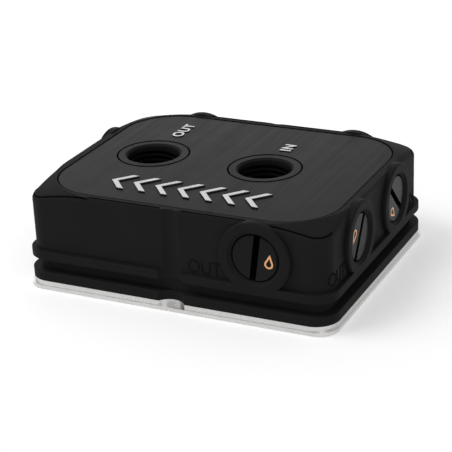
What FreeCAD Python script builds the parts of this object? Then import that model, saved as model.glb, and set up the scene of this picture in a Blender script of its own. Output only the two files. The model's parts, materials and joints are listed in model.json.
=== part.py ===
import FreeCAD, Part
import math
import os

# Liquid cooling cold plate for a processor, in millimetres.
# +X runs along the long side, +Y to the back and +Z up. The origin is the
# middle of the copper contact face, which the block stands on.

V = FreeCAD.Vector
UP = V(0, 0, 1)
NEAR = 1e-4

# Cold plate: nickel-plated copper in two tiers, with a fin field on top.
PLATE_L, PLATE_W, PLATE_R = 80.4, 65.0, 4.8
FOOT_T = 1.05
PLATE_T = 2.3
PLATE_EDGE = 0.2
FIN_FIELD_L, FIN_FIELD_W = 35.0, 34.9
FIN_H, FIN_T, FIN_PITCH = 2.7, 0.35, 0.72
FIN_ROOT = 0.2

# Terminal body: two lips with a bracket groove between them, then the wall.
LIP_L, LIP_W, LIP_R = 79.9, 64.6, 5.8
LIP_T = 2.4
GROOVE_H, GROOVE_DEPTH = 3.1, 2.2
UPPER_LIP_T = 2.2
LIP_EDGE = 0.15
WALL_INSET = 1.2
WALL_R = 4.6
RIM_Z = 25.2

# Crown: the top falls away towards the four corners of the wall.
CROWN_R = 18.7
CROWN_SLOPE = 0.3
CROWN_EDGE = 0.3
CROWN_FALL = 4.0
RIM_ROUND = 1.7

# Flute in the middle of each long side, for the bracket's screw.
FLUTE_R = 4.0
FLUTE_DEPTH = 1.8

# Cover: aluminium inlay on an adhesive film, in a pocket in the top.
COVER_L, COVER_W, COVER_R = 72.6, 57.5, 13.0
COVER_T, FILM_T = 0.8, 0.2
COVER_GAP = 0.25
COVER_SINK = 0.1
FILM_INSET = 0.6
COLLAR_R = 8.9

# G1/4 ports.
THREAD_MAJOR_R = 6.58
THREAD_MINOR_R = 5.9
MOUTH_CHAMFER = 0.5
TOP_PORT_DEPTH = 10.0
TOP_PORT_Y = 0.85
PORT_OUT_X, PORT_IN_X = -20.65, 9.85
SIDE_PORT_Z = 16.75
SIDE_PORT_DEPTH = 9.5
LONG_SIDE_PORT_X = 21.5
SHORT_SIDE_PORT_Y = 12.2
BOSS_R, BOSS_EDGE, BOSS_ROOT = 8.85, 0.5, 1.0
SIDE_MOUTH_R, SIDE_MOUTH_DEPTH = 6.7, 0.8

# Headless screw plug, and the O-ring its nose presses onto the port's floor.
PLUG_SINK = 0.7
PLUG_EDGE = 0.45
PLUG_SHOULDER = 8.0
PLUG_NOSE_R, PLUG_NOSE_END = 4.2, 9.2
PLUG_SLOT_W, PLUG_SLOT_DEPTH = 1.6, 2.2
PLUG_SLOT_REACH = 7.0

# Waterways inside the body.
CAVITY_L, CAVITY_W, CAVITY_R = 50.0, 40.0, 3.0
JET_T = 0.8
JET_L, JET_W, JET_R = 35.8, 38.6, 1.5
JET_SLIT_W, JET_SLIT_L, JET_SLIT_R = 1.2, 33.0, 0.55
GALLERY_Z = 9.0
COLLECTOR_X, COLLECTOR_L, COLLECTOR_W = 21.75, 6.5, 32.0
TROUGH_X0, TROUGH_X1, TROUGH_W = -3.0, 14.0, 32.0
POCKET_R = 2.0
RISER_R, CROSS_DRILL_R, LONG_DRILL_R = 3.0, 3.2, 2.8

# Base seal and base screws.
SEAL_L, SEAL_W, SEAL_R = 56.0, 46.4, 5.0
SEAL_D = 1.8
SEAL_GROOVE_W = 2.2
SCREW_R, SCREW_HEAD_R, SCREW_LEN = 1.5, 2.8, 8.0
SCREW_SINK = 0.15
SCREW_SOCKET_R, SCREW_SOCKET_DEPTH = 1.0, 1.1
SCREW_CORNER_X, SCREW_MIDDLE_X, SCREW_Y = 33.4, 12.0, 27.2
TAP_EXTRA = 0.6

# Heights that follow from the dimensions above.
GROOVE_Z = PLATE_T + LIP_T
UPPER_LIP_Z = GROOVE_Z + GROOVE_H
WALL_Z = UPPER_LIP_Z + UPPER_LIP_T
WALL_L, WALL_W = LIP_L - 2 * WALL_INSET, LIP_W - 2 * WALL_INSET
COVER_Z = RIM_Z - COVER_SINK
POCKET_Z = COVER_Z - COVER_T - FILM_T
FIN_TOP = PLATE_T + FIN_H
CEILING_Z = FIN_TOP + JET_T

# Each side port: name, face centre, outward direction and the slot's turn.
HALF_L, HALF_W = LIP_L / 2, LIP_W / 2
SIDE_PORTS = [
    ("front", V(LONG_SIDE_PORT_X, -HALF_W, SIDE_PORT_Z), V(0, -1, 0), 8),
    ("right_front", V(HALF_L, -SHORT_SIDE_PORT_Y, SIDE_PORT_Z), V(1, 0, 0), 212),
    ("right_rear", V(HALF_L, SHORT_SIDE_PORT_Y, SIDE_PORT_Z), V(1, 0, 0), 136),
    ("left_rear", V(-HALF_L, SHORT_SIDE_PORT_Y, SIDE_PORT_Z), V(-1, 0, 0), 20),
    ("back_left", V(-LONG_SIDE_PORT_X, HALF_W, SIDE_PORT_Z), V(0, 1, 0), -15),
    ("back_right", V(LONG_SIDE_PORT_X, HALF_W, SIDE_PORT_Z), V(0, 1, 0), 65),
]


def rounded_outline(length, width, radius, z):
    """A closed wire: a rectangle with round corners, centred on the Z axis."""
    x, y = length / 2, width / 2
    k = radius * (1 - math.sqrt(0.5))
    corners = [(x, y, 1, 1), (-x, y, -1, 1), (-x, -y, -1, -1), (x, -y, 1, -1)]
    arcs = []
    for cx, cy, sx, sy in corners:
        along_x = V(cx - sx * radius, cy, z)
        along_y = V(cx, cy - sy * radius, z)
        middle = V(cx - sx * k, cy - sy * k, z)
        first, last = (along_y, along_x) if sx * sy > 0 else (along_x, along_y)
        arcs.append(Part.Arc(first, middle, last).toShape())
    edges = []
    for arc, following in zip(arcs, arcs[1:] + arcs[:1]):
        edges.append(arc)
        edges.append(Part.makeLine(arc.lastVertex().Point, following.firstVertex().Point))
    return Part.Wire(edges)


def slab(length, width, radius, z0, z1, x=0.0, y=0.0):
    """A rounded rectangle extruded from z0 to z1."""
    solid = Part.Face(rounded_outline(length, width, radius, z0)).extrude(V(0, 0, z1 - z0))
    solid.translate(V(x, y, 0))
    return solid


def rod(radius, start, direction, length):
    """A cylinder from start along direction."""
    return Part.makeCylinder(radius, length, start, direction)


def flutes(z0, z1):
    """The two upright round cutters at the middle of the long sides."""
    y = HALF_W + FLUTE_R - FLUTE_DEPTH
    return [rod(FLUTE_R, V(0, s * y, z0), UP, z1 - z0) for s in (-1, 1)]


def screw_places():
    """Where the base screws stand, in plan."""
    places = [(sx * x, sy * SCREW_Y) for x in (SCREW_CORNER_X, SCREW_MIDDLE_X)
              for sx in (-1, 1) for sy in (-1, 1)]
    return places + [(-SCREW_CORNER_X, 0.0), (SCREW_CORNER_X, 0.0)]


def on_outline(edge, length, width):
    """Whether an edge touches the sides of a length by width rectangle."""
    b = edge.BoundBox
    reach_x = max(abs(b.XMax), abs(b.XMin))
    reach_y = max(abs(b.YMax), abs(b.YMin))
    return reach_x > length / 2 - NEAR or reach_y > width / 2 - NEAR


def slab_edges(solid, length, width, heights):
    """The outline edges of a slab that lie flat at any of the heights."""
    found = []
    for edge in solid.Edges:
        b = edge.BoundBox
        flat = any(abs(b.ZMin - z) < NEAR and abs(b.ZMax - z) < NEAR for z in heights)
        if flat and on_outline(edge, length, width):
            found.append(edge)
    return found


def fin_field():
    """One comb profile along Y, extruded along X: fins and the skin they share."""
    count = int((FIN_FIELD_W - FIN_T) / FIN_PITCH) + 1
    y = -((count - 1) * FIN_PITCH + FIN_T) / 2
    x = -FIN_FIELD_L / 2
    root = PLATE_T - FIN_ROOT
    points = [V(x, y, root)]
    for i in range(count):
        left = y + i * FIN_PITCH
        if i:
            points.append(V(x, left, PLATE_T))
        points.append(V(x, left, FIN_TOP))
        points.append(V(x, left + FIN_T, FIN_TOP))
        if i < count - 1:
            points.append(V(x, left + FIN_T, PLATE_T))
    points.append(V(x, -y, root))
    points.append(points[0])
    return Part.Face(Part.makePolygon(points)).extrude(V(FIN_FIELD_L, 0, 0))


def countersink(x, y):
    """Clearance hole and cone for one base screw."""
    cone = SCREW_HEAD_R - SCREW_R
    z = SCREW_SINK
    hole = rod(SCREW_R, V(x, y, 0), UP, PLATE_T)
    head = Part.makeCone(SCREW_HEAD_R, SCREW_R, cone, V(x, y, z), UP)
    mouth = rod(SCREW_HEAD_R, V(x, y, 0), UP, z)
    return hole.fuse([head, mouth])


def make_cold_plate():
    foot = slab(PLATE_L, PLATE_W, PLATE_R, 0, FOOT_T)
    step = slab(LIP_L, LIP_W, LIP_R, FOOT_T, PLATE_T).cut(flutes(FOOT_T, PLATE_T))
    foot = foot.makeChamfer(PLATE_EDGE, slab_edges(foot, PLATE_L, PLATE_W, [0]))
    holes = [countersink(x, y) for x, y in screw_places()]
    return foot.fuse([step, fin_field()]).cut(holes).removeSplitter()


def make_screw(x, y):
    """An M3 countersunk screw with a hexagon socket, head down."""
    cone = SCREW_HEAD_R - SCREW_R
    z = SCREW_SINK
    head = Part.makeCone(SCREW_HEAD_R, SCREW_R, cone, V(x, y, z), UP)
    shank = rod(SCREW_R, V(x, y, z), UP, SCREW_LEN)
    corner = [V(x + SCREW_SOCKET_R * math.cos(math.radians(60 * i)),
                y + SCREW_SOCKET_R * math.sin(math.radians(60 * i)), z) for i in range(7)]
    socket = Part.Face(Part.makePolygon(corner)).extrude(V(0, 0, SCREW_SOCKET_DEPTH))
    return head.fuse(shank).cut(socket).removeSplitter()


def make_base_screws():
    return Part.makeCompound([make_screw(x, y) for x, y in screw_places()])


def make_base_seal():
    """An O-ring laid in a rounded rectangle between the plate and the body."""
    z = PLATE_T + SEAL_D / 2
    path = rounded_outline(SEAL_L, SEAL_W, SEAL_R, z)
    start = path.Edges[0]
    tangent = start.tangentAt(start.FirstParameter)
    section = Part.Wire(Part.makeCircle(SEAL_D / 2, start.valueAt(start.FirstParameter), tangent))
    return path.makePipeShell([section], True, False)


def seal_groove():
    """The groove in the body's underside that holds the base seal."""
    w = SEAL_GROOVE_W
    outer = slab(SEAL_L + w, SEAL_W + w, SEAL_R + w / 2, PLATE_T, PLATE_T + SEAL_D)
    inner = slab(SEAL_L - w, SEAL_W - w, SEAL_R - w / 2, PLATE_T, PLATE_T + SEAL_D)
    return outer.cut(inner)


def crown():
    """A shallow hipped block: flat in the middle, falling towards the corners."""
    flat_l, flat_w = WALL_L - 2 * CROWN_EDGE, WALL_W - 2 * CROWN_EDGE
    grow = CROWN_FALL / CROWN_SLOPE
    skirt_l, skirt_w, skirt_r = flat_l + 2 * grow, flat_w + 2 * grow, CROWN_R + grow
    skirt_z = RIM_Z - CROWN_FALL
    top = rounded_outline(flat_l, flat_w, CROWN_R, RIM_Z)
    skirt = rounded_outline(skirt_l, skirt_w, skirt_r, skirt_z)
    hip = Part.makeLoft([skirt, top], True, True)
    below = slab(skirt_l, skirt_w, skirt_r, WALL_Z, skirt_z)
    return hip.fuse(below).removeSplitter()


def make_wall():
    """The upright wall with its crowned, rounded top edge."""
    wall = slab(WALL_L, WALL_W, WALL_R, WALL_Z, RIM_Z).common(crown())
    rim = [edge for edge in wall.Edges
           if edge.BoundBox.ZMin > RIM_Z - CROWN_FALL and on_outline(edge, WALL_L, WALL_W)]
    return wall.makeFillet(RIM_ROUND, rim)


def lip(z0, z1):
    """One lip of the bracket groove, with its two outer edges broken."""
    solid = slab(LIP_L, LIP_W, LIP_R, z0, z1)
    return solid.makeChamfer(LIP_EDGE, slab_edges(solid, LIP_L, LIP_W, [z0, z1]))


def boss(centre, outward):
    """The round boss around a side port, flush with the lips."""
    depth = WALL_INSET + BOSS_ROOT
    solid = rod(BOSS_R, centre - outward * depth, outward, depth)
    face_edge = [e for e in solid.Edges if abs((e.CenterOfMass - centre).dot(outward)) < NEAR]
    return solid.makeFillet(BOSS_EDGE, face_edge)


def revolved(profile, centre, outward):
    """Turn a profile of (radius, height) points about an axis along outward."""
    points = [V(r, 0, u) for r, u in profile]
    face = Part.Face(Part.makePolygon(points + points[:1]))
    solid = face.revolve(V(0, 0, 0), UP, 360)
    solid.Placement = FreeCAD.Placement(centre, FreeCAD.Rotation(UP, outward))
    return solid


def side_port_cutter(centre, outward):
    """Conical mouth and threaded length of one side port."""
    profile = [(0, 0), (SIDE_MOUTH_R, 0), (THREAD_MINOR_R, -SIDE_MOUTH_DEPTH),
               (THREAD_MINOR_R, -SIDE_PORT_DEPTH), (0, -SIDE_PORT_DEPTH)]
    return revolved(profile, centre, outward)


def top_port_cutter(x):
    """Chamfered mouth and threaded length of one top port."""
    mouth = THREAD_MAJOR_R + MOUTH_CHAMFER
    profile = [(0, 0), (mouth, 0), (THREAD_MAJOR_R, -MOUTH_CHAMFER),
               (THREAD_MAJOR_R, -TOP_PORT_DEPTH), (0, -TOP_PORT_DEPTH)]
    return revolved(profile, V(x, TOP_PORT_Y, COVER_Z), UP)


def waterways():
    """Everything the coolant runs through, as one list of cutters."""
    h = GALLERY_Z - CEILING_Z
    trough_l = TROUGH_X1 - TROUGH_X0
    trough_x = (TROUGH_X0 + TROUGH_X1) / 2
    z, y = SIDE_PORT_Z, SHORT_SIDE_PORT_Y
    inner_x, inner_y = HALF_L - SIDE_PORT_DEPTH, HALF_W - SIDE_PORT_DEPTH
    port_x = LONG_SIDE_PORT_X
    rise = SIDE_PORT_Z - GALLERY_Z
    drop = COVER_Z - TOP_PORT_DEPTH - GALLERY_Z
    return [
        slab(CAVITY_L, CAVITY_W, CAVITY_R, PLATE_T, CEILING_Z),
        slab(COLLECTOR_L, COLLECTOR_W, POCKET_R, CEILING_Z, CEILING_Z + h, -COLLECTOR_X),
        slab(COLLECTOR_L, COLLECTOR_W, POCKET_R, CEILING_Z, CEILING_Z + h, COLLECTOR_X),
        slab(trough_l, TROUGH_W, POCKET_R, CEILING_Z, CEILING_Z + h, trough_x),
        rod(RISER_R, V(PORT_OUT_X, TOP_PORT_Y, GALLERY_Z), UP, drop),
        rod(RISER_R, V(PORT_IN_X, TOP_PORT_Y, GALLERY_Z), UP, drop),
        rod(RISER_R, V(port_x, -y, GALLERY_Z), UP, rise),
        rod(CROSS_DRILL_R, V(port_x, -inner_y, z), V(0, 1, 0), inner_y - y),
        rod(LONG_DRILL_R, V(inner_x, -y, z), V(-1, 0, 0), inner_x - port_x),
        rod(RISER_R, V(PORT_IN_X, y, GALLERY_Z), UP, rise),
        rod(LONG_DRILL_R, V(inner_x, y, z), V(-1, 0, 0), inner_x - PORT_IN_X),
        rod(CROSS_DRILL_R, V(port_x, inner_y, z), V(0, -1, 0), inner_y - y),
        rod(RISER_R, V(PORT_OUT_X, y, GALLERY_Z), UP, rise),
        rod(LONG_DRILL_R, V(-inner_x, y, z), V(1, 0, 0), inner_x + PORT_OUT_X),
        rod(CROSS_DRILL_R, V(-port_x, inner_y, z), V(0, -1, 0), inner_y - y),
    ]


def make_terminal_body():
    core_l, core_w = LIP_L - 2 * GROOVE_DEPTH, LIP_W - 2 * GROOVE_DEPTH
    lower = lip(PLATE_T, GROOVE_Z)
    core = slab(core_l, core_w, LIP_R - GROOVE_DEPTH, GROOVE_Z, UPPER_LIP_Z)
    upper = lip(UPPER_LIP_Z, WALL_Z)
    body = lower.fuse([core, upper, make_wall()]).removeSplitter()
    body = body.cut(flutes(PLATE_T, RIM_Z))
    body = body.fuse([boss(centre, outward) for _, centre, outward, _ in SIDE_PORTS])
    pocket = slab(COVER_L + 2 * COVER_GAP, COVER_W + 2 * COVER_GAP, COVER_R + COVER_GAP,
                  POCKET_Z, RIM_Z)
    collars = [rod(COLLAR_R, V(x, TOP_PORT_Y, POCKET_Z), UP, COVER_Z - POCKET_Z)
               for x in (PORT_OUT_X, PORT_IN_X)]
    cutters = [pocket.cut(collars), seal_groove()]
    cutters += [top_port_cutter(x) for x in (PORT_OUT_X, PORT_IN_X)]
    cutters += [side_port_cutter(centre, outward) for _, centre, outward, _ in SIDE_PORTS]
    cutters += [rod(SCREW_R, V(x, y, PLATE_T), UP, SCREW_LEN + SCREW_SINK + TAP_EXTRA - PLATE_T)
                for x, y in screw_places()]
    return body.cut(cutters + waterways()).removeSplitter()


def with_port_holes(sheet, radius, z, thickness):
    holes = [rod(radius, V(x, TOP_PORT_Y, z), UP, thickness) for x in (PORT_OUT_X, PORT_IN_X)]
    return sheet.cut(holes)


def make_cover_plate():
    z = POCKET_Z + FILM_T
    sheet = slab(COVER_L, COVER_W, COVER_R, z, COVER_Z)
    return with_port_holes(sheet, COLLAR_R + COVER_GAP, z, COVER_T)


def make_cover_adhesive():
    k = FILM_INSET
    sheet = slab(COVER_L - 2 * k, COVER_W - 2 * k, COVER_R - k, POCKET_Z, POCKET_Z + FILM_T)
    return with_port_holes(sheet, COLLAR_R + COVER_GAP + k, POCKET_Z, FILM_T)


def make_jet_plate():
    plate = slab(JET_L, JET_W, JET_R, FIN_TOP, CEILING_Z)
    slit = slab(JET_SLIT_W, JET_SLIT_L, JET_SLIT_R, FIN_TOP, CEILING_Z)
    return plate.cut(slit)


def make_port_plug(centre, outward, turn):
    """A headless slotted screw plug with a nose that carries its O-ring."""
    face, edge = -PLUG_SINK, THREAD_MINOR_R - PLUG_EDGE
    profile = [(0, face), (edge, face), (THREAD_MINOR_R, face - PLUG_EDGE),
               (THREAD_MINOR_R, -PLUG_SHOULDER), (PLUG_NOSE_R, -PLUG_SHOULDER),
               (PLUG_NOSE_R, -PLUG_NOSE_END), (0, -PLUG_NOSE_END)]
    plug = revolved(profile, centre, outward)
    reach = PLUG_SLOT_REACH
    slot = Part.makeBox(2 * reach, PLUG_SLOT_W, PLUG_SLOT_DEPTH,
                        V(-reach, -PLUG_SLOT_W / 2, face - PLUG_SLOT_DEPTH))
    axes = FreeCAD.Rotation(UP, UP.cross(outward), outward, "ZXY")
    lean = FreeCAD.Rotation(outward, -turn)
    slot.Placement = FreeCAD.Placement(centre, lean.multiply(axes))
    return plug.cut(slot)


def make_plug_seal(centre, outward):
    """The O-ring between the plug's shoulder and the floor of its port."""
    section = (SIDE_PORT_DEPTH - PLUG_SHOULDER) / 2
    middle = centre - outward * (PLUG_SHOULDER + section)
    return Part.makeTorus(PLUG_NOSE_R + section, section, middle, outward)


def build():
    parts = {
        "cold_plate": make_cold_plate(),
        "terminal_body": make_terminal_body(),
        "cover_plate": make_cover_plate(),
        "cover_adhesive": make_cover_adhesive(),
        "jet_plate": make_jet_plate(),
        "base_seal": make_base_seal(),
        "base_screws": make_base_screws(),
    }
    for name, centre, outward, turn in SIDE_PORTS:
        parts["port_plug_" + name] = make_port_plug(centre, outward, turn)
        parts["plug_seal_" + name] = make_plug_seal(centre, outward)
    return parts


os.makedirs("parts", exist_ok=True)
for node, shape in build().items():
    shape.exportStep("parts/" + node + ".step")
    print(node, shape.ShapeType, len(shape.Solids), shape.isValid(), round(shape.Volume, 2))
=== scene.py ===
import json
import math

import bmesh
import bpy
from mathutils import Matrix, Vector


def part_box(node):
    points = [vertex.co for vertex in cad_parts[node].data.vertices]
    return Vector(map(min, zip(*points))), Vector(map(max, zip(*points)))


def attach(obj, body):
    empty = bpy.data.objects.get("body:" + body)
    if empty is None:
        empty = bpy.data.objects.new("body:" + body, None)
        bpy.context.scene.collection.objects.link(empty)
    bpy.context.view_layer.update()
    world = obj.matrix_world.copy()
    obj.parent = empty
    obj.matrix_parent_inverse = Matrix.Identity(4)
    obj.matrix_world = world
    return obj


# Liquid cooling cold plate: finishes, threads, lettering and light around the
# solid model. Sizes with a name are in millimetres, and MM turns them into
# metres. The lamps and the floor's reach are in metres.

MM = 0.001
UP = Vector((0, 0, 1))

# Viewpoint: the point looked at, the direction in degrees, the distance and the lens.
AIM = Vector((2.65, -7.23, 12.0))
AZIMUTH, ELEVATION, ROLL = 26.36, 23.30, -2.57
DISTANCE = 376.47
LENS, SENSOR = 123.27, 36.0
CLIP_START = 10.0

# How pale the black acetal is: moulded, and in darker copies without shine that paint shade: the
# shadow in the gaps and under the crown's step, the shade inside the port threads and at the
# edges of the wall letters.
ACETAL = 0.0155
SHADOW_LINE_SHADE, THREAD_PAINTED_SHADE, LETTER_PAINTED_SHADE = 0.004, 0.010, 0.019

# Shine of the moulded acetal and of the faced tops of the collars, which are smoother too.
MOULDED_SHINE, FACED_SHINE = 0.022, 0.042
FACED_SMOOTHER = 0.08

# The plugs shine on their faces only, and below their faces they are painted dark as shade in the
# slot and round the sides: no shine and full painted shade below the first depth, full shine and
# no painted shade above the second.
PLUG_SHINE = 0.045
PLUG_SHADED_BELOW, PLUG_UNSHADED_ABOVE = -0.3, -0.1

# Roughness of the plugs: plain, and added by the rings. Clean plating is this pale a share
# of the scuffed shade.
PLUG_ROUGH, PLUG_RING_ROUGH = 0.16, 0.10
PLUG_CLEAN = 0.45

# Scuffs make the acetal paler and the steel darker. The pits of a cut face are darker.
SCUFFED_ACETAL, SCUFFED_STEEL = 1.6, 0.8
PIT_SHADE = 0.3

# How much the streaks swing the roughness of the brushed cover.
STREAK_ROUGH = 0.24

# Grain: the scale of its slow unevenness, as a share of the fine one, and its swing.
GRAIN_BROAD, GRAIN_SWING = 0.03, 4.0

# Brush lines, fine and coarse: their length, as a scale along them, and their share of the
# mask. There are this many coarse lines for each fine one.
BRUSH_ALONG = (0.012, 0.03)
BRUSH_SHARES = (0.55, 0.45)
BRUSH_COARSE = 0.12

# Scuffs: scale, threshold and strength of the hairlines and of the haze.
HAIR_SCALE, HAIR_RANGE, HAIR_STRENGTH = 1400.0, (0.66, 0.72), 0.6
HAIR_TURN, HAIR_ALONG = (0.3, 0.2, 0.7), 0.04
HAZE_SCALE, HAZE_RANGE, HAZE_STRENGTH = 90.0, (0.45, 0.75), 0.6

# The two open ports, by their mounts.
PORTS = ("port_out", "port_in")

# Thread in the open ports: G1/4, right-handed. Its ends start at a share of the full size
# and grow by the run-out with each turn.
THREAD_PITCH = 1.337
THREAD_DEPTH = 0.72
THREAD_ROOT_W, THREAD_CREST_W = 1.20, 0.22
THREAD_BITE = 0.04
THREAD_TOP_GAP, THREAD_BOTTOM_GAP = 0.95, 0.9
THREAD_STEPS = 64
THREAD_END, THREAD_RUNOUT = 0.12, 2.5

# Lettering on the cover: port, word, length and place.
LABEL_H, LABEL_THICK = 2.95, 0.22
LABEL_SPACING, LABEL_WEIGHT = 1.1, 0.022
MERGE_WITHIN = 0.0001
COVER_LABELS = (
    ("port_out", "OUT", 9.2, -20.85, 18.05),
    ("port_in", "IN", 4.3, 9.9, 15.05),
)

# Lettering on the walls: name, word, length, direction of the wall, place along it and height.
WALL_LABEL_H, WALL_LABEL_THICK = 3.3, 0.10
WALL_LABELS = (
    ("front_out", "OUT", 8.4, Vector((0, -1, 0)), 8.5, 12.2),
    ("right_out", "OUT", 8.4, Vector((1, 0, 0)), -24.8, 12.5),
    ("right_in", "IN", 4.6, Vector((1, 0, 0)), 24.6, 12.2),
)

# The housing's upright wall: how far it stands back from the lips, and its corners.
WALL_INSET, WALL_R = 1.2, 4.6
CORNER_STEPS = 16

# Dark beads in the gaps round the cover and the collars: painted shadow that darkens the gaps.
BEAD_W, BEAD_RISE, BEAD_SINK, BEAD_GAP = 0.46, 0.1, 0.4, 0.25
COVER_CORNER, COLLAR_R = 13.0, 8.9

# The crown: flat inside a rounded rectangle, and falling away outside it.
CROWN_Z, CROWN_SLOPE = 25.2, 0.3
CROWN_R, CROWN_INSET = 18.7, 0.3

# The fine step under the crown's rim, from the flute to the side walls. It lies a little
# below the crown, and lower still in the corners, in full once it is the corner's reach
# past the crown's flat part.
RIM_INSET, RIM_STEPS = 0.3, 65
RIM_DROP, CORNER_DROP, CORNER_REACH = 0.08, 0.35, 0.8
FLUTE_HALF = 2.0

# Sections of the step, outwards and upwards from the rim: the dark line, a strip of painted
# shadow under the step, and the rounded shoulder below it, each along the straight rim and in the
# corners.
SHADOW_LINE_STRAIGHT = ((-0.6, 0.13), (-0.2, 0.12), (0.02, 0.0), (0.2, -0.33), (0.2, -0.7), (-0.6, -0.4))
SHADOW_LINE_CORNER = (
    (-0.32, 0.42), (-0.24, 0.36), (-0.16, 0.28), (-0.08, 0.17), (-0.08, -0.4), (-0.32, -0.3))
EDGE_STRAIGHT = (
    (0.12, -0.3), (0.3, -0.42), (0.38, -0.75), (0.33, -1.2), (-0.2, -1.3), (-0.2, -0.6))
EDGE_CORNER = (
    (-0.1, 0.15), (0.1, -0.1), (0.28, -0.5), (0.33, -1.2), (-0.2, -1.3), (-0.2, -0.4))

# Flow chevrons on the cover.
CHEVRON_COUNT, CHEVRON_PITCH = 7, 5.85
CHEVRON_H, CHEVRON_REACH, CHEVRON_STROKE, CHEVRON_THICK = 8.4, 3.6, 1.7, 0.35
CHEVRON_BEVEL = 0.1
CHEVRON_X, CHEVRON_Y = -21.5, -18.9

# Drop mark on each plug, drawn as an outline and seen from outside the plug.
DROP_R, DROP_TIP = 1.07, 2.5
DROP_LINE, DROP_THICK = 0.42, 0.05
DROP_STEPS = 24
DROP_OFF = 3.55
DROP_LOWER = {"front": 0.5}

# The plugs: outward direction and the slot's turn in degrees.
PLUGS = {
    "front": (Vector((0, -1, 0)), 8),
    "right_front": (Vector((1, 0, 0)), 212),
    "right_rear": (Vector((1, 0, 0)), 136),
    "left_rear": (Vector((-1, 0, 0)), 20),
    "back_left": (Vector((0, 1, 0)), -15),
    "back_right": (Vector((0, 1, 0)), 65),
}

# Floor and surroundings. The surroundings light the block evenly; where they are seen,
# they are white low down and dim towards the zenith.
FLOOR_REACH, FLOOR_SINK = 6.0, 0.02
FLOOR_SHADE, FLOOR_GLOW = 0.86, 0.36
AMBIENT = 0.45
BACKDROP_RISE, BACKDROP = (0.5, 0.85), (1.0, 0.2)

# Lamps: place, height looked at, size and watts.
LAMPS = {
    "key": ((-0.45, -0.25, 0.75), 0.01, (0.5, 0.5), 3.2),
    "fill": ((0.55, -0.55, 0.45), 0.01, (0.4, 0.4), 0.6),
    "back": ((-0.20, 0.32, 0.17), 0.02, (0.25, 0.12), 0.075),
}

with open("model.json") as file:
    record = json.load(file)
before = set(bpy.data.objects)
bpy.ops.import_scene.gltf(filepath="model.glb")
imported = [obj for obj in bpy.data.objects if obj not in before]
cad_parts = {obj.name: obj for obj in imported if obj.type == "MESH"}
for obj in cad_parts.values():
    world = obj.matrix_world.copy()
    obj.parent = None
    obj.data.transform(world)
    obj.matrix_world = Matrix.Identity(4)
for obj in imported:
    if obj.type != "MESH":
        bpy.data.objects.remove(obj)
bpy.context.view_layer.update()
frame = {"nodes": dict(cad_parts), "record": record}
NODES = frame["nodes"]
MOUNTS = {m["name"]: m for m in frame["record"]["mounts"]}
BODY_LOW, BODY_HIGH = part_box("terminal_body")
COVER_LOW, COVER_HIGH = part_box("cover_plate")
COVER_TOP = COVER_HIGH.z


# ---------------------------------------------------------------- shader nodes

def add(tree, kind, **settings):
    node = tree.nodes.new(kind)
    for key, value in settings.items():
        setattr(node, key, value)
    return node


def plug(tree, source, socket):
    """Links another node's output to a socket, or sets the socket to a value."""
    if isinstance(source, bpy.types.NodeSocket):
        tree.links.new(source, socket)
    else:
        socket.default_value = source


def feed(tree, node, **sources):
    """Plugs a node's inputs by name, with an underscore for each space."""
    for key, source in sources.items():
        plug(tree, source, node.inputs[key.replace("_", " ")])


def maths(tree, operation, a, b=None, clamp=False):
    node = add(tree, "ShaderNodeMath", operation=operation, use_clamp=clamp)
    plug(tree, a, node.inputs[0])
    if b is not None:
        plug(tree, b, node.inputs[1])
    return node.outputs[0]


def plus(tree, a, b, clamp=False):
    return maths(tree, "ADD", a, b, clamp)


def minus(tree, a, b):
    return maths(tree, "SUBTRACT", a, b)


def times(tree, a, b, clamp=False):
    return maths(tree, "MULTIPLY", a, b, clamp)


def remap(tree, value, source, target=(0.0, 1.0)):
    """Carries one range over to another; what lies outside stays at its ends."""
    node = add(tree, "ShaderNodeMapRange", clamp=True)
    feed(tree, node, Value=value, From_Min=source[0], From_Max=source[1],
         To_Min=target[0], To_Max=target[1])
    return node.outputs["Result"]


def noise(tree, vector, scale, detail=3.0, rough=0.5):
    node = add(tree, "ShaderNodeTexNoise", noise_dimensions="3D")
    feed(tree, node, Vector=vector, Scale=scale, Detail=detail, Roughness=rough)
    return node.outputs["Fac"]


def mapped(tree, vector, kind="POINT", **sources):
    """A vector that is stretched, turned or moved."""
    node = add(tree, "ShaderNodeMapping", vector_type=kind)
    feed(tree, node, Vector=vector, **sources)
    return node.outputs["Vector"]


def components(tree, vector):
    """The X, Y and Z of a vector."""
    node = add(tree, "ShaderNodeSeparateXYZ")
    plug(tree, vector, node.inputs[0])
    return node.outputs


def facing_up(tree, low, high):
    """1 where a face lies flat and looks up, falling to 0 as it tilts."""
    normal = add(tree, "ShaderNodeNewGeometry").outputs["Normal"]
    return remap(tree, components(tree, normal)["Z"], (low, high))


def near_axis(tree, place, x, y, radius):
    """1 within a radius of an upright axis, 0 outside it."""
    apart = add(tree, "ShaderNodeVectorMath", operation="MULTIPLY_ADD")
    for source, socket in zip((place, (1.0, 1.0, 0.0), (-x, -y, 0.0)), apart.inputs):
        plug(tree, source, socket)
    length = add(tree, "ShaderNodeVectorMath", operation="LENGTH")
    plug(tree, apart.outputs["Vector"], length.inputs[0])
    return maths(tree, "LESS_THAN", length.outputs["Value"], radius)


# -------------------------------------------------------------- texture groups

def new_group(name, inputs, outputs):
    """A shader group that takes a vector and named values; returns its tree and both ends."""
    tree = bpy.data.node_groups.new(name, "ShaderNodeTree")
    tree.interface.new_socket("Vector", in_out="INPUT", socket_type="NodeSocketVector")
    for label, default in inputs.items():
        socket = tree.interface.new_socket(label, in_out="INPUT", socket_type="NodeSocketFloat")
        socket.default_value = default
    for label in outputs:
        tree.interface.new_socket(label, in_out="OUTPUT", socket_type="NodeSocketFloat")
    given = add(tree, "NodeGroupInput").outputs
    end = add(tree, "NodeGroupOutput")
    return tree, given, end


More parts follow.
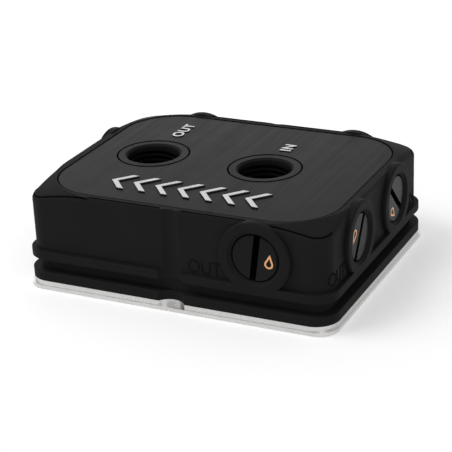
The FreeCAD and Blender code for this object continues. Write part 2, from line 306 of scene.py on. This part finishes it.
def grain_group():
    """Fine moulded or milled grain: roughness that varies, and a height for bump."""
    tree, given, end = new_group(
        "surface_grain", {"Grain": 3000.0, "Roughness": 0.5, "Spread": 0.05},
        ("Roughness", "Height"))
    fine = noise(tree, given["Vector"], given["Grain"], detail=4.0, rough=0.6)
    broad = noise(tree, given["Vector"], times(tree, given["Grain"], GRAIN_BROAD))
    both = plus(tree, times(tree, fine, 0.5), times(tree, broad, 0.5))
    swing = times(tree, minus(tree, both, 0.5), times(tree, given["Spread"], GRAIN_SWING))
    rough = plus(tree, given["Roughness"], swing, clamp=True)
    feed(tree, end, Roughness=rough, Height=fine)
    return tree


def brush_group():
    """Brush lines that run along Y of the vector: a mask of streaks and their height."""
    tree, given, end = new_group(
        "brush_lines", {"Lines": 2500.0, "Contrast": 1.0}, ("Streaks", "Height"))
    thin, wide = (mapped(tree, given["Vector"], Scale=(1.0, along, 1.0)) for along in BRUSH_ALONG)
    fine = noise(tree, thin, given["Lines"], detail=5.0, rough=0.65)
    coarse = noise(tree, wide, times(tree, given["Lines"], BRUSH_COARSE), rough=0.6)
    mixed = plus(tree, times(tree, fine, BRUSH_SHARES[0]), times(tree, coarse, BRUSH_SHARES[1]))
    spread = times(tree, minus(tree, mixed, 0.5), given["Contrast"])
    streaks = plus(tree, times(tree, spread, 2.0), 0.5, clamp=True)
    feed(tree, end, Streaks=streaks, Height=fine)
    return tree


def turning_group():
    """Rings left by a lathe about Z of the vector."""
    tree, given, end = new_group("turning_rings", {"Rings": 3000.0}, ("Streaks", "Height"))
    parts = components(tree, given["Vector"])
    squares = [maths(tree, "POWER", maths(tree, "ABSOLUTE", parts[axis]), 2.0) for axis in "XY"]
    radius = maths(tree, "SQRT", plus(tree, *squares))
    ring = add(tree, "ShaderNodeCombineXYZ")
    feed(tree, ring, X=radius)
    rings = noise(tree, ring.outputs[0], given["Rings"], detail=4.0, rough=0.6)
    feed(tree, end, Streaks=rings, Height=rings)
    return tree


def scuff_group():
    """Sparse hairline scuffs and soft finger haze, as one mask."""
    tree, given, end = new_group("handling_scuffs", {"Amount": 0.3}, ("Mask",))
    turned = mapped(tree, given["Vector"], Rotation=HAIR_TURN, Scale=(1.0, HAIR_ALONG, 1.0))
    hair = remap(tree, noise(tree, turned, HAIR_SCALE, detail=2.0), HAIR_RANGE)
    smears = noise(tree, given["Vector"], HAZE_SCALE, detail=4.0)
    haze = remap(tree, smears, HAZE_RANGE, (0.0, HAZE_STRENGTH))
    both = plus(tree, times(tree, hair, HAIR_STRENGTH), haze, clamp=True)
    feed(tree, end, Mask=times(tree, both, given["Amount"]))
    return tree


GRAIN = grain_group()
BRUSH = brush_group()
TURNING = turning_group()
SCUFFS = scuff_group()


# ---------------------------------------------------------------- materials

class Finish:
    """One material under construction: its tree, its shader and the object coordinates."""

    def __init__(self, name, colour, metallic=0.0, specular=0.5):
        self.material = bpy.data.materials.new(name)
        self.material.use_nodes = True
        self.tree = self.material.node_tree
        self.shader = self.tree.nodes["Principled BSDF"]
        self.set(Base_Color=(*colour, 1.0), Metallic=metallic, Specular_IOR_Level=specular)
        self.place = add(self.tree, "ShaderNodeTexCoord").outputs["Object"]

    def set(self, **sources):
        """Plugs the shader's inputs by name."""
        feed(self.tree, self.shader, **sources)

    def group(self, tree, vector=None, **values):
        """The outputs of a texture group, laid out by the object coordinates or a vector."""
        node = add(self.tree, "ShaderNodeGroup", node_tree=tree)
        feed(self.tree, node, Vector=vector or self.place, **values)
        return node.outputs

    def turned(self, rotation, location=(0, 0, 0)):
        """Object coordinates seen from a piece's own centre and direction."""
        return mapped(self.tree, self.place, "TEXTURE", Location=location, Rotation=rotation)

    def roughness(self, value, scuffs=None, amount=0.0):
        """Roughness, which scuffs raise by an amount."""
        if scuffs is not None:
            value = plus(self.tree, value, times(self.tree, scuffs, amount), clamp=True)
        self.set(Roughness=value)

    def colour(self, mask, low, high):
        """Base colour that runs from low to high with the mask."""
        mix = add(self.tree, "ShaderNodeMix", data_type="RGBA")
        feed(self.tree, mix, A=(*low, 1.0), B=(*high, 1.0), Factor=mask)
        colours = [s for s in mix.outputs if s.type == "RGBA"]
        self.set(Base_Color=colours[0])

    def bump(self, height, strength, distance):
        """Fine relief, over any that is there already."""
        node = add(self.tree, "ShaderNodeBump")
        feed(self.tree, node, Strength=strength, Distance=distance * MM, Height=height)
        normal = self.shader.inputs["Normal"]
        if normal.is_linked:
            feed(self.tree, node, Normal=normal.links[0].from_socket)
        self.set(Normal=node.outputs["Normal"])


def grey(value):
    return (value, value, value)


def black_acetal():
    """Satin black acetal; the tops of the two collars are faced and shine more."""
    f = Finish("black_acetal_satin", grey(ACETAL))
    grain = f.group(GRAIN, Grain=3800.0, Roughness=0.52, Spread=0.06)
    scuffs = f.group(SCUFFS, Amount=0.30)["Mask"]
    reach = (COLLAR_R + BEAD_GAP / 2) * MM
    collars = [near_axis(f.tree, f.place, *MOUNTS[port]["pos_m"][:2], reach) for port in PORTS]
    faced = times(f.tree, plus(f.tree, *collars), facing_up(f.tree, low=0.95, high=0.99))
    f.set(Specular_IOR_Level=remap(f.tree, faced, (0.0, 1.0), (MOULDED_SHINE, FACED_SHINE)))
    satin = minus(f.tree, grain["Roughness"], times(f.tree, faced, FACED_SMOOTHER))
    f.roughness(satin, scuffs, amount=0.2)
    f.colour(scuffs, grey(ACETAL), grey(ACETAL * SCUFFED_ACETAL))
    f.bump(grain["Height"], strength=0.25, distance=0.02)
    return f.material


def brushed_cover():
    """Black aluminium, brushed from front to back."""
    f = Finish("brushed_black_aluminium", grey(0.03), metallic=1.0)
    f.set(Specular_Tint=(*grey(0.6), 1.0))
    brush = f.group(BRUSH, Lines=2200.0, Contrast=1.7)
    grain = f.group(GRAIN, Grain=5000.0, Roughness=0.36, Spread=0.03)
    scuffs = f.group(SCUFFS, Amount=0.25)["Mask"]
    streaks = times(f.tree, minus(f.tree, brush["Streaks"], 0.5), STREAK_ROUGH)
    f.roughness(plus(f.tree, grain["Roughness"], streaks, clamp=True), scuffs, amount=0.1)
    f.colour(brush["Streaks"], grey(0.010), grey(0.034))
    f.bump(brush["Height"], strength=0.35, distance=0.01)
    return f.material


def nickel_plate():
    """Satin nickel over copper, with brush lines and a coarser grain."""
    f = Finish("satin_nickel_plate", (0.72, 0.71, 0.70), metallic=1.0)
    around = f.turned((0, math.pi / 2, 0))
    brush = f.group(BRUSH, vector=around, Lines=1800.0, Contrast=1.0)
    grain = f.group(GRAIN, Grain=1600.0, Roughness=0.30, Spread=0.10)
    f.roughness(grain["Roughness"])
    f.colour(brush["Streaks"], (0.56, 0.555, 0.55), (0.69, 0.685, 0.68))
    f.bump(brush["Height"], strength=0.3, distance=0.02)
    f.bump(grain["Height"], strength=0.25, distance=0.03)
    return f.material


def plug_plating(name, centre, outward):
    """Glossy black plating with rings about the plug's own axis, with painted shade in the slot
    and below the face.
    """
    f = Finish("black_plating_" + name, grey(0.010))
    local = f.turned(UP.rotation_difference(outward).to_euler(), centre)
    rings = f.group(TURNING, vector=local, Rings=2600.0)
    scuffs = f.group(SCUFFS, Amount=0.4)["Mask"]
    # Painted shade: below the face the plating turns dark and loses its shine.
    depth = components(f.tree, local)["Z"]
    face = remap(f.tree, depth, (PLUG_SHADED_BELOW * MM, PLUG_UNSHADED_ABOVE * MM))
    f.set(Specular_IOR_Level=times(f.tree, face, PLUG_SHINE))
    turned = plus(f.tree, PLUG_ROUGH, times(f.tree, rings["Streaks"], PLUG_RING_ROUGH))
    f.roughness(turned, scuffs, amount=0.2)
    shade = times(f.tree, face, plus(f.tree, scuffs, PLUG_CLEAN), clamp=True)
    f.colour(shade, grey(0.003), grey(0.026))
    f.bump(rings["Height"], strength=0.2, distance=0.01)
    return f.material


def silver_print():
    """Silver on the raised tops, over black sides."""
    f = Finish("silver_print", (0.64, 0.64, 0.65))
    grain = f.group(GRAIN, Grain=2600.0, Roughness=0.42, Spread=0.08)
    top = facing_up(f.tree, low=0.4, high=0.8)
    f.set(Metallic=remap(f.tree, top, (0.0, 1.0), (0.0, 0.35)))
    f.roughness(grain["Roughness"])
    shade = times(f.tree, top, remap(f.tree, grain["Height"], (0.0, 1.0), (0.85, 1.0)))
    f.colour(shade, grey(0.02), (0.68, 0.68, 0.69))
    f.bump(grain["Height"], strength=0.2, distance=0.01)
    return f.material


def grained(finish, low, high, grain, strength, distance, scuffs=None):
    """Completes a finish of even grain, coloured by its scuffs or else by the grain."""
    texture = finish.group(GRAIN, **grain)
    mask = texture["Height"]
    if scuffs is not None:
        mask = finish.group(SCUFFS, Amount=scuffs)["Mask"]
    finish.roughness(texture["Roughness"])
    finish.colour(mask, low, high)
    finish.bump(texture["Height"], strength, distance)
    return finish.material


def painted_shade_acetal(name, shade):
    """Acetal darkened to paint shade: rough, without shine, and darker than the moulded faces."""
    return grained(Finish(name, grey(shade), specular=0.0), grey(shade * PIT_SHADE), grey(shade),
                   dict(Grain=3000.0, Roughness=0.6, Spread=0.08), strength=0.3, distance=0.02)


def copper_print():
    return grained(Finish("copper_print", (0.80, 0.40, 0.18), metallic=0.6),
                   (0.70, 0.32, 0.13), (0.90, 0.50, 0.26),
                   dict(Grain=3000.0, Roughness=0.38, Spread=0.08), strength=0.2, distance=0.01)


def seal_rubber():
    return grained(Finish("black_seal_rubber", grey(0.008), specular=0.4),
                   grey(0.008), grey(0.03),
                   dict(Grain=2500.0, Roughness=0.55, Spread=0.10),
                   strength=0.3, distance=0.03, scuffs=0.5)


def steel(name, colour, rough):
    darker = tuple(c * SCUFFED_STEEL for c in colour)
    return grained(Finish(name, colour, metallic=1.0), colour, darker,
                   dict(Grain=2200.0, Roughness=rough, Spread=0.08),
                   strength=0.2, distance=0.02, scuffs=0.5)


def adhesive_film():
    return grained(Finish("adhesive_film_white", (0.72, 0.72, 0.68)),
                   (0.66, 0.66, 0.62), (0.78, 0.78, 0.74),
                   dict(Grain=2000.0, Roughness=0.6, Spread=0.05), strength=0.2, distance=0.02)


# ------------------------------------------------------------------- pieces

def link_new(name, data):
    """A new object in the scene."""
    piece = bpy.data.objects.new(name, data)
    bpy.context.scene.collection.objects.link(piece)
    return piece


def add_piece(name, mesh, material):
    """Puts a finished mesh in the scene as a piece of the block."""
    mesh.materials.clear()
    mesh.materials.append(material)
    mesh.name = name
    piece = link_new(name, mesh)
    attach(piece, "root")


def finish_node(name, material):
    """Gives a CAD node its material."""
    mesh = NODES[name].data
    for index in range(len(mesh.materials)):
        mesh.materials[index] = material


def axes(x, y, z):
    """The turn that carries X, Y and Z to three directions."""
    return Matrix((x, y, z)).transposed().to_4x4()


def stand(mesh, place, reading, outward):
    """Puts a flat piece at place, reading along one direction and facing another."""
    turn = axes(reading, outward.cross(reading), outward)
    mesh.transform(Matrix.Translation(place) @ turn)


def mesh_from(work, name):
    mesh = bpy.data.meshes.new(name)
    work.to_mesh(mesh)
    work.free()
    return mesh


def raise_faces(work, faces, height):
    """Gives flat faces a thickness upwards."""
    raised = bmesh.ops.extrude_face_region(work, geom=faces)
    top = [v for v in raised["geom"] if isinstance(v, bmesh.types.BMVert)]
    bmesh.ops.translate(work, verts=top, vec=(0, 0, height))
    bmesh.ops.recalc_face_normals(work, faces=work.faces)


def ring_at(work, centre, point, out, section):
    """Vertices of a section, whose offsets run outwards and upwards from a point of a path."""
    return [work.verts.new(centre + (point + out * x + UP * z) * MM) for x, z in section]


def join_rings(work, rings):
    """Faces from each ring of vertices to the next."""
    for ring, after in zip(rings, rings[1:]):
        for i in range(len(ring)):
            j = (i + 1) % len(ring)
            work.faces.new((ring[i], ring[j], after[j], after[i]))


def plain_mesh(obj):
    """The evaluated object as a plain mesh; the working object goes."""
    bpy.context.view_layer.update()
    graph = bpy.context.evaluated_depsgraph_get()
    mesh = bpy.data.meshes.new_from_object(obj.evaluated_get(graph))
    bpy.data.objects.remove(obj)
    return mesh


# ----------------------------------------------------------- geometry trees

def geometry_tree(name, inputs):
    """A geometry tree with named inputs; returns the tree, its inputs and its end."""
    tree = bpy.data.node_groups.new(name, "GeometryNodeTree")
    for label, kind in inputs.items():
        tree.interface.new_socket(label, in_out="INPUT", socket_type="NodeSocket" + kind)
    tree.interface.new_socket("Geometry", in_out="OUTPUT", socket_type="NodeSocketGeometry")
    given = add(tree, "NodeGroupInput").outputs
    end = add(tree, "NodeGroupOutput")
    return tree, given, end


def run_tree(name, tree, values):
    """Runs a geometry tree with its named inputs and returns the plain mesh."""
    host = link_new(name, bpy.data.meshes.new(name))
    modifier = host.modifiers.new(name, "NODES")
    modifier.node_group = tree
    sockets = {s.name: s.identifier for s in tree.interface.items_tree if s.in_out == "INPUT"}
    for label, value in values.items():
        modifier[sockets[label]] = value
    return plain_mesh(host)


def coat(tree, geometry, given, end):
    """Makes instances real, gives them the material and ends the tree."""
    real = add(tree, "GeometryNodeRealizeInstances")
    feed(tree, real, Geometry=geometry)
    coated = add(tree, "GeometryNodeSetMaterial")
    feed(tree, coated, Geometry=real.outputs["Geometry"], Material=given["Material"])
    feed(tree, end, Geometry=coated.outputs["Geometry"])


def thread_path(tree, given):
    """The spiral through the middle of the thread's ridge."""
    half = times(tree, given["Depth"], 0.5)
    radius = minus(tree, given["Bore Radius"], half)
    spiral = add(tree, "GeometryNodeCurveSpiral")
    feed(tree, spiral, Resolution=THREAD_STEPS, Reverse=True, Start_Radius=radius,
         End_Radius=radius, Rotations=given["Turns"], Height=given["Length"])
    upright = add(tree, "GeometryNodeSetCurveNormal", mode="Z_UP")
    feed(tree, upright, Curve=spiral.outputs["Curve"])
    return upright.outputs["Curve"]


def thread_fade(tree, given):
    """The ridge's size along the spiral, which runs out at both ends."""
    along = add(tree, "GeometryNodeSplineParameter").outputs["Factor"]
    turns_in = times(tree, along, given["Turns"])
    turns_left = minus(tree, given["Turns"], turns_in)
    nearest = maths(tree, "MINIMUM", turns_in, turns_left)
    return plus(tree, times(tree, nearest, THREAD_RUNOUT), THREAD_END, clamp=True)


def thread_section(tree, given):
    """The ridge's section, with its narrow side towards the axis."""
    trapezoid = add(tree, "GeometryNodeCurvePrimitiveQuadrilateral", mode="TRAPEZOID")
    feed(tree, trapezoid, Height=given["Depth"], Bottom_Width=given["Root Width"],
         Top_Width=given["Crest Width"], Offset=0.0)
    quarter = add(tree, "GeometryNodeTransform")
    feed(tree, quarter, Geometry=trapezoid.outputs["Curve"], Rotation=(0, 0, -math.pi / 2))
    return quarter.outputs["Geometry"]


def thread_tree():
    """A right-handed internal thread: a trapezoid ridge swept up a spiral."""
    tree, given, end = geometry_tree("port_thread", {
        "Bore Radius": "Float", "Depth": "Float", "Turns": "Float", "Length": "Float",
        "Root Width": "Float", "Crest Width": "Float", "Centre": "Vector",
        "Material": "Material"})
    sweep = add(tree, "GeometryNodeCurveToMesh")
    feed(tree, sweep, Curve=thread_path(tree, given), Scale=thread_fade(tree, given),
         Profile_Curve=thread_section(tree, given), Fill_Caps=True)
    placed = add(tree, "GeometryNodeTransform")
    feed(tree, placed, Geometry=sweep.outputs["Mesh"], Translation=given["Centre"])
    coat(tree, placed.outputs["Geometry"], given, end)
    return tree


def make_port_threads(material):
    tree = thread_tree()
    for port in PORTS:
        mount = MOUNTS[port]
        length = mount["dims"]["length_mm"] - THREAD_TOP_GAP - THREAD_BOTTOM_GAP
        centre = Vector(mount["pos_m"])
        centre.z = COVER_TOP - (THREAD_TOP_GAP + length) * MM
        mesh = run_tree(port + "_thread", tree, {
            "Bore Radius": (mount["dims"]["r_mm"] + THREAD_BITE) * MM,
            "Depth": (THREAD_DEPTH + THREAD_BITE) * MM,
            "Turns": length / THREAD_PITCH,
            "Length": length * MM,
            "Root Width": THREAD_ROOT_W * MM,
            "Crest Width": THREAD_CREST_W * MM,
            "Centre": centre,
            "Material": material,
        })
        add_piece(port + "_thread", mesh, material)


def chevron_blank():
    """One chevron that points along -X, with its upper edges broken."""
    h, reach, stroke = CHEVRON_H * MM / 2, CHEVRON_REACH * MM, CHEVRON_STROKE * MM
    outline = [(0, 0), (reach, h), (reach + stroke, h), (stroke, 0), (reach + stroke, -h),
               (reach, -h)]
    work = bmesh.new()
    face = work.faces.new([work.verts.new((x, y, 0)) for x, y in outline])
    raise_faces(work, [face], CHEVRON_THICK * MM)
    upper = [e for e in work.edges if all(v.co.z > 0 for v in e.verts)]
    bmesh.ops.bevel(work, geom=upper, offset=CHEVRON_BEVEL * MM, segments=2, profile=0.5,
                    affect="EDGES")
    return link_new("chevron_blank", mesh_from(work, "chevron_blank"))


def chevron_row_tree():
    """A row of one piece, repeated along X."""
    tree, given, end = geometry_tree("chevron_row", {
        "Piece": "Object", "Count": "Int", "Pitch": "Float", "First": "Vector",
        "Material": "Material"})
    step = add(tree, "ShaderNodeCombineXYZ")
    feed(tree, step, X=given["Pitch"])
    row = add(tree, "GeometryNodeMeshLine", mode="OFFSET")
    feed(tree, row, Count=given["Count"], Start_Location=given["First"], Offset=step.outputs[0])
    piece = add(tree, "GeometryNodeObjectInfo")
    feed(tree, piece, Object=given["Piece"])
    spread = add(tree, "GeometryNodeInstanceOnPoints")
    feed(tree, spread, Points=row.outputs["Mesh"], Instance=piece.outputs["Geometry"])
    coat(tree, spread.outputs["Instances"], given, end)
    return tree


def make_flow_chevrons(silver):
    blank = chevron_blank()
    mesh = run_tree("flow_chevrons", chevron_row_tree(), {
        "Piece": blank,
        "Count": CHEVRON_COUNT,
        "Pitch": CHEVRON_PITCH * MM,
        "First": Vector((CHEVRON_X * MM, CHEVRON_Y * MM, COVER_TOP)),
        "Material": silver,
    })
    bpy.data.objects.remove(blank)
    add_piece("flow_chevrons", mesh, silver)


# ---------------------------------------------------------------- lettering

def tidy(mesh):
    """Merges doubles and turns the faces outwards."""
    work = bmesh.new()
    work.from_mesh(mesh)
    bmesh.ops.remove_doubles(work, verts=work.verts, dist=MERGE_WITHIN * MM)
    bmesh.ops.recalc_face_normals(work, faces=work.faces)
    work.to_mesh(mesh)
    work.free()


def lettering(text, height, thickness, length, spacing=1.0, weight=0.0):
    """Raised letters, centred on the origin, reading along X, with their feet at Z 0."""
    half = 0.5
    curve = bpy.data.curves.new("lettering", "FONT")
    curve.body = text
    curve.align_x = "CENTER"
    curve.align_y = "CENTER"
    curve.space_character = spacing
    curve.extrude = half
    curve.offset = weight
    mesh = plain_mesh(link_new("lettering", curve))
    xs = [v.co.x for v in mesh.vertices]
    ys = [v.co.y for v in mesh.vertices]
    middle = Vector(((max(xs) + min(xs)) / 2, (max(ys) + min(ys)) / 2, -half))
    wide = length * MM / (max(xs) - min(xs))
    tall = height * MM / (max(ys) - min(ys))
    mesh.transform(Matrix.Translation(-middle))
    mesh.transform(Matrix.Diagonal((wide, tall, thickness * MM, 1.0)))
    tidy(mesh)
    return mesh


def make_cover_labels(silver):
    for port, text, length, x, y in COVER_LABELS:
        mesh = lettering(text, LABEL_H, LABEL_THICK, length, LABEL_SPACING, LABEL_WEIGHT)
        stand(mesh, Vector((x * MM, y * MM, COVER_TOP)), Vector((0, 1, 0)), UP)
        add_piece(port + "_label", mesh, silver)


def follow_wall_corners(mesh):
    """Sinks what reaches past the straight part of a side wall onto the wall's round corner."""
    straight = BODY_HIGH.y - (WALL_INSET + WALL_R) * MM
    radius = WALL_R * MM
    for vertex in mesh.vertices:
        past = min(max(0.0, abs(vertex.co.y) - straight), radius)
        vertex.co.x -= radius - math.sqrt(radius * radius - past * past)


def make_wall_labels(material):
    for name, text, length, outward, along, height in WALL_LABELS:
        mesh = lettering(text, WALL_LABEL_H, WALL_LABEL_THICK, length)
        reading = UP.cross(outward)
        wall = BODY_HIGH.x if outward.x else BODY_HIGH.y
        foot = outward * (wall - WALL_INSET * MM)
        place = foot + reading * (along * MM) + UP * (height * MM)
        stand(mesh, place, reading, outward)
        if outward.x:
            follow_wall_corners(mesh)
        add_piece("wall_label_" + name, mesh, material)


# ------------------------------------------------------- sealant and crown

def rounded_corners(half_l, half_w, radius):
    """Points and outward directions round the four corners of a rounded rectangle."""
    corners = []
    for sx, sy, start in ((1, 1, 0), (-1, 1, 90), (-1, -1, 180), (1, -1, 270)):
        centre = Vector((sx * (half_l - radius), sy * (half_w - radius), 0))
        corner = []
        for i in range(CORNER_STEPS + 1):
            angle = math.radians(start + 90 * i / CORNER_STEPS)
            out = Vector((math.cos(angle), math.sin(angle), 0))
            corner.append((centre + out * radius, out))
        corners.append(corner)
    return corners


def bead_mesh(half_l, half_w, radius, centre):
    """A low dark bead, painted shadow in a gap, that runs round a rounded rectangle."""
    half = BEAD_W / 2
    section = [(-half, -BEAD_SINK), (-half, 0.0), (-half / 2, BEAD_RISE),
               (half / 2, BEAD_RISE), (half, 0.0), (half, -BEAD_SINK)]
    path = sum(rounded_corners(half_l, half_w, radius), [])
    work = bmesh.new()
    rings = [ring_at(work, centre, point, out, section) for point, out in path]
    join_rings(work, rings + rings[:1])
    bmesh.ops.recalc_face_normals(work, faces=work.faces)
    return mesh_from(work, "bead")


def make_beads(gap_shadow):
    """Dark beads that fill the gaps round the cover and round the two collars: painted shadow in
    the gaps.
    """
    gap = BEAD_GAP / 2
    half = (COVER_HIGH - COVER_LOW) / 2 / MM
    middle = Vector((0, 0, COVER_TOP))
    bead = bead_mesh(half.x + gap, half.y + gap, COVER_CORNER + gap, middle)
    add_piece("cover_bead", bead, gap_shadow)
    radius = COLLAR_R + gap
    for port in PORTS:
        x, y, _ = MOUNTS[port]["pos_m"]
        ring = bead_mesh(radius, radius, radius, Vector((x, y, COVER_TOP)))
        add_piece(port + "_bead", ring, gap_shadow)


def distance_outside(point, half_l, half_w, radius):
    """How far a point lies outside a rounded rectangle."""
    dx = abs(point.x) - (half_l - radius)
    dy = abs(point.y) - (half_w - radius)
    inside = min(max(dx, dy), 0.0)
    return max(0.0, math.hypot(max(dx, 0.0), max(dy, 0.0)) + inside - radius)


def crown_paths():
    """The front rim left and right of the flute: points, outward directions and corner shares."""
    half_l = (BODY_HIGH.x - BODY_LOW.x) / 2 / MM - WALL_INSET
    half_w = (BODY_HIGH.y - BODY_LOW.y) / 2 / MM - WALL_INSET
    _, _, left, right = rounded_corners(
        half_l - RIM_INSET, half_w - RIM_INSET, WALL_R - RIM_INSET)
    (start, out), (end, _) = left[-1], right[0]
    straight = [(start.lerp(end, i / RIM_STEPS), out) for i in range(1, RIM_STEPS)]
    path = []
    for point, out in left + straight + right:
        beyond = distance_outside(point, half_l - CROWN_INSET, half_w - CROWN_INSET, CROWN_R)
        share = min(1.0, beyond / CORNER_REACH)
        height = CROWN_Z - RIM_DROP - CORNER_DROP * share - CROWN_SLOPE * beyond
        path.append((point + UP * height, out, share))
    return [p for p in path if p[0].x < -FLUTE_HALF], [p for p in path if p[0].x > FLUTE_HALF]


def strip_mesh(paths, straight, corner):
    """Closed strips along paths, whose section passes from straight to corner by each share."""
    work = bmesh.new()
    for path in paths:
        rings = []
        for point, out, share in path:
            section = [Vector(a).lerp(Vector(b), share) for a, b in zip(straight, corner)]
            rings.append(ring_at(work, Vector(), point, out, section))
        join_rings(work, rings)
        work.faces.new(rings[0])
        work.faces.new(reversed(rings[-1]))
    bmesh.ops.recalc_face_normals(work, faces=work.faces)
    return mesh_from(work, "strip")


def make_crown_lines(shadow_acetal, acetal):
    """The fine step at the crown's rim, front and back: a dark line of painted shadow over a
    rounded shoulder.
    """
    half_turn = Matrix.Rotation(math.pi, 4, "Z")
    for side, turn in (("front", Matrix()), ("back", half_turn)):
        line = strip_mesh(crown_paths(), SHADOW_LINE_STRAIGHT, SHADOW_LINE_CORNER)
        edge = strip_mesh(crown_paths(), EDGE_STRAIGHT, EDGE_CORNER)
        line.transform(turn)
        edge.transform(turn)
        add_piece("crown_groove_" + side, line, shadow_acetal)
        add_piece("crown_shoulder_" + side, edge, acetal)


# --------------------------------------------------------------- drop marks

def drop_outline(radius, tip):
    """Points of a water drop, tip upwards, centred on its round part."""
    open_half = math.acos(radius / tip)
    points = []
    for i in range(DROP_STEPS + 1):
        angle = math.pi / 2 + open_half + (2 * math.pi - 2 * open_half) * i / DROP_STEPS
        points.append((radius * math.cos(angle), radius * math.sin(angle)))
    points.append((0.0, tip))
    return points


def drop_mesh():
    """A water drop drawn as a line of even width."""
    inner_r = DROP_R - DROP_LINE
    work = bmesh.new()
    rings = []
    for radius, tip in ((DROP_R, DROP_TIP), (inner_r, DROP_TIP * inner_r / DROP_R)):
        rings.append([work.verts.new((x * MM, y * MM, 0)) for x, y in drop_outline(radius, tip)])
    join_rings(work, rings)
    raise_faces(work, list(work.faces), DROP_THICK * MM)
    return mesh_from(work, "drop")


def plug_face(name):
    """The middle of a plug's outer face."""
    outward = PLUGS[name][0]
    low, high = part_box("port_plug_" + name)
    middle = (low + high) / 2
    reach = max((high - middle).dot(outward), (low - middle).dot(outward))
    return middle + outward * reach


def make_drop_marks(copper):
    for name, (outward, turn) in PLUGS.items():
        lean = Matrix.Rotation(math.radians(-turn), 3, outward)
        side = lean @ UP.cross(outward)
        lower = lean @ UP * DROP_LOWER.get(name, 0.0)
        mesh = drop_mesh()
        stand(mesh, plug_face(name) + (side * DROP_OFF - lower) * MM, side, outward)
        add_piece("plug_mark_" + name, mesh, copper)


# ------------------------------------------------------------ floor and light

def seen_directly(tree):
    """1 for camera, glossy and transmission rays, 0 for the rays that light the scene."""
    path = add(tree, "ShaderNodeLightPath").outputs
    mirrored = maths(tree, "MAXIMUM", path["Is Glossy Ray"], path["Is Transmission Ray"])
    return maths(tree, "MAXIMUM", path["Is Camera Ray"], mirrored)


def make_world():
    """A pale backdrop where it is seen, and an even, weaker light on everything else."""
    world = bpy.data.worlds.new("studio")
    bpy.context.scene.world = world
    world.use_nodes = True
    tree = world.node_tree
    direction = add(tree, "ShaderNodeTexCoord").outputs["Generated"]
    backdrop = remap(tree, components(tree, direction)["Z"], BACKDROP_RISE, BACKDROP)
    strength = remap(tree, seen_directly(tree), (0.0, 1.0), (AMBIENT, backdrop))
    feed(tree, tree.nodes["Background"], Color=(1, 1, 1, 1), Strength=strength)


def make_floor():
    """A pale matt floor that glows a little where it is seen."""
    work = bmesh.new()
    bmesh.ops.create_grid(work, x_segments=1, y_segments=1, size=FLOOR_REACH)
    mesh = mesh_from(work, "floor")
    mesh.transform(Matrix.Translation((0, 0, -FLOOR_SINK * MM)))
    floor = link_new("floor", mesh)
    material = bpy.data.materials.new("pale_floor")
    material.use_nodes = True
    tree = material.node_tree
    feed(tree, tree.nodes["Principled BSDF"], Base_Color=(*grey(FLOOR_SHADE), 1),
         Roughness=0.9, Specular_IOR_Level=0.0, Emission_Color=(1, 1, 1, 1),
         Emission_Strength=times(tree, seen_directly(tree), FLOOR_GLOW))
    mesh.materials.append(material)


def make_lamps():
    """Soft rectangular lamps that look at the block."""
    for name, (place, height, size, watts) in LAMPS.items():
        light = bpy.data.lights.new(name, "AREA")
        light.shape = "RECTANGLE"
        light.size, light.size_y = size
        light.energy = watts
        back = (Vector(place) - Vector((0, 0, height))).normalized()
        right = UP.cross(back).normalized()
        turn = axes(right, back.cross(right), back)
        link_new(name, light).matrix_world = Matrix.Translation(place) @ turn


def make_camera():
    a, e, r = (math.radians(v) for v in (AZIMUTH, ELEVATION, ROLL))
    back = Vector((math.sin(a) * math.cos(e), -math.cos(a) * math.cos(e), math.sin(e)))
    right = Vector((math.cos(a), math.sin(a), 0))
    up = back.cross(right)
    turned_right = right * math.cos(r) + up * math.sin(r)
    turned_up = up * math.cos(r) - right * math.sin(r)
    lens = bpy.data.cameras.new("camera")
    lens.lens = LENS
    lens.sensor_width = SENSOR
    lens.clip_start = CLIP_START * MM
    camera = link_new("camera", lens)
    turn = axes(turned_right, turned_up, back)
    camera.matrix_world = Matrix.Translation((AIM + back * DISTANCE) * MM) @ turn
    bpy.context.scene.camera = camera


def dress_nodes(acetal):
    """Gives every CAD node its finish."""
    finish_node("terminal_body", acetal)
    finish_node("cover_plate", brushed_cover())
    finish_node("cold_plate", nickel_plate())
    finish_node("cover_adhesive", adhesive_film())
    finish_node("jet_plate", steel("jet_plate_steel", (0.56, 0.56, 0.57), 0.28))
    finish_node("base_screws", steel("screw_steel", (0.50, 0.50, 0.52), 0.32))
    rubber = seal_rubber()
    finish_node("base_seal", rubber)
    for name, (outward, _) in PLUGS.items():
        finish_node("plug_seal_" + name, rubber)
        finish_node("port_plug_" + name, plug_plating(name, plug_face(name), outward))


make_camera()
acetal = black_acetal()
dress_nodes(acetal)
# Darker acetal that paints the shadow in the gaps round the cover and the collars and under the
# crown's step.
shadow_acetal = painted_shade_acetal("black_acetal_painted_shadow", SHADOW_LINE_SHADE)
# The threads are darker than the moulded body: painted shade inside the bores.
make_port_threads(painted_shade_acetal("black_acetal_threads_painted_shade", THREAD_PAINTED_SHADE))
make_beads(shadow_acetal)
make_crown_lines(shadow_acetal, acetal)
# The wall letters are darker than the wall: painted shade for their shaded edges.
make_wall_labels(painted_shade_acetal("black_acetal_letters_painted_shade", LETTER_PAINTED_SHADE))
silver = silver_print()
make_cover_labels(silver)
make_flow_chevrons(silver)
make_drop_marks(copper_print())
make_world()
make_floor()
make_lamps()
bpy.context.scene.view_settings.view_transform = "Standard"
